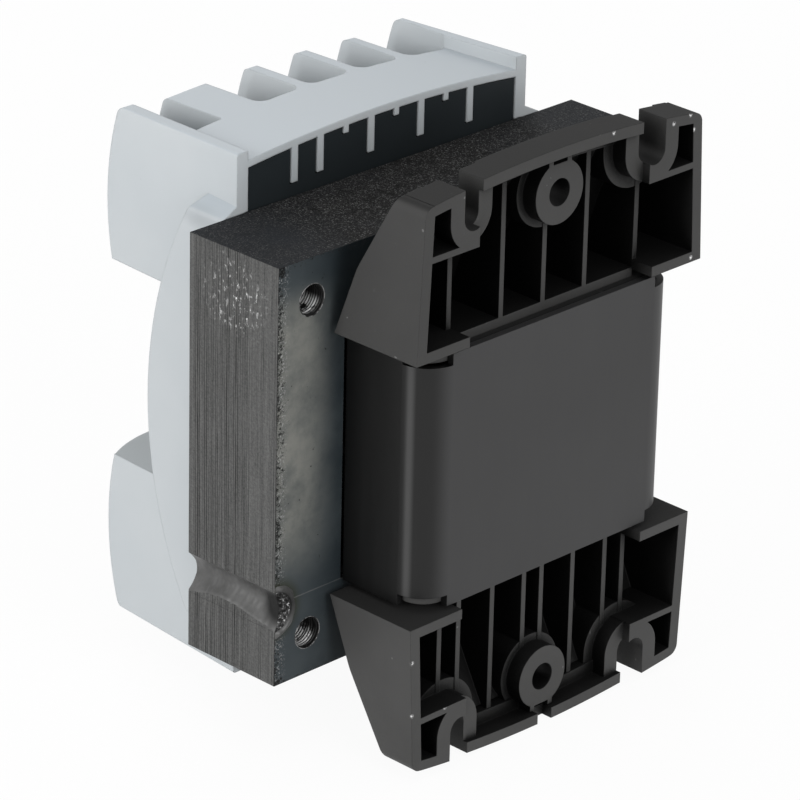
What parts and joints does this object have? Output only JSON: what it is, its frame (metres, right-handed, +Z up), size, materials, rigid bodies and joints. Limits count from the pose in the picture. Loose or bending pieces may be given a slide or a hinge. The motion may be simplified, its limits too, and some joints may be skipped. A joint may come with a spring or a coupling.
{
  "type": "din rail transformer",
  "caption": "Small control transformer with a welded laminated core, two ribbed black feet with open screw slots, and a pale grey terminal housing in front.",
  "frame": {"origin": "centre of the mounting plane, which the backs of both feet share, midway between the two ring holes", "axes": "+Z up along the coil's axis, +Y to the panel, -Y to the front with the terminals, and X across the core"},
  "size_m": [0.084, 0.0728, 0.098],
  "materials": {
    "core_steel": "cut sheet edges, dull",
    "weld_metal": "weld bead",
    "black_plastic": "satin",
    "cover_plastic": "satin",
    "grey_plastic": "matt",
    "copper_wire": "enamelled",
    "plated_steel": "zinc plated",
    "tinned_brass": "tinned"
  },
  "bodies": {
    "root": {"e_lamination_stack": "core_steel", "i_lamination_stack": "core_steel", "weld_seam_left": "weld_metal", "weld_seam_right": "weld_metal", "coil_bobbin": "black_plastic", "primary_winding": "copper_wire", "secondary_winding": "copper_wire", "rear_coil_cover": "cover_plastic", "upper_mounting_foot": "black_plastic", "lower_mounting_foot": "black_plastic", "terminal_housing": "grey_plastic", "upper_terminal_carrier": "black_plastic", "lower_terminal_carrier": "black_plastic", "upper_clamp_1": "plated_steel", "upper_clamp_screw_1": "plated_steel", "upper_contact_bar_1": "tinned_brass", "upper_clamp_2": "plated_steel", "upper_clamp_screw_2": "plated_steel", "upper_contact_bar_2": "tinned_brass", "upper_clamp_3": "plated_steel", "upper_clamp_screw_3": "plated_steel", "upper_contact_bar_3": "tinned_brass", "upper_clamp_4": "plated_steel", "upper_clamp_screw_4": "plated_steel", "upper_contact_bar_4": "tinned_brass", "upper_clamp_5": "plated_steel", "upper_clamp_screw_5": "plated_steel", "upper_contact_bar_5": "tinned_brass", "lower_clamp_1": "plated_steel", "lower_clamp_screw_1": "plated_steel", "lower_contact_bar_1": "tinned_brass", "lower_clamp_2": "plated_steel", "lower_clamp_screw_2": "plated_steel", "lower_contact_bar_2": "tinned_brass", "lower_clamp_3": "plated_steel", "lower_clamp_screw_3": "plated_steel", "lower_contact_bar_3": "tinned_brass", "lower_clamp_4": "plated_steel", "lower_clamp_screw_4": "plated_steel", "lower_contact_bar_4": "tinned_brass", "lower_clamp_5": "plated_steel", "lower_clamp_screw_5": "plated_steel", "lower_contact_bar_5": "tinned_brass"}
  },
  "joints": []
}
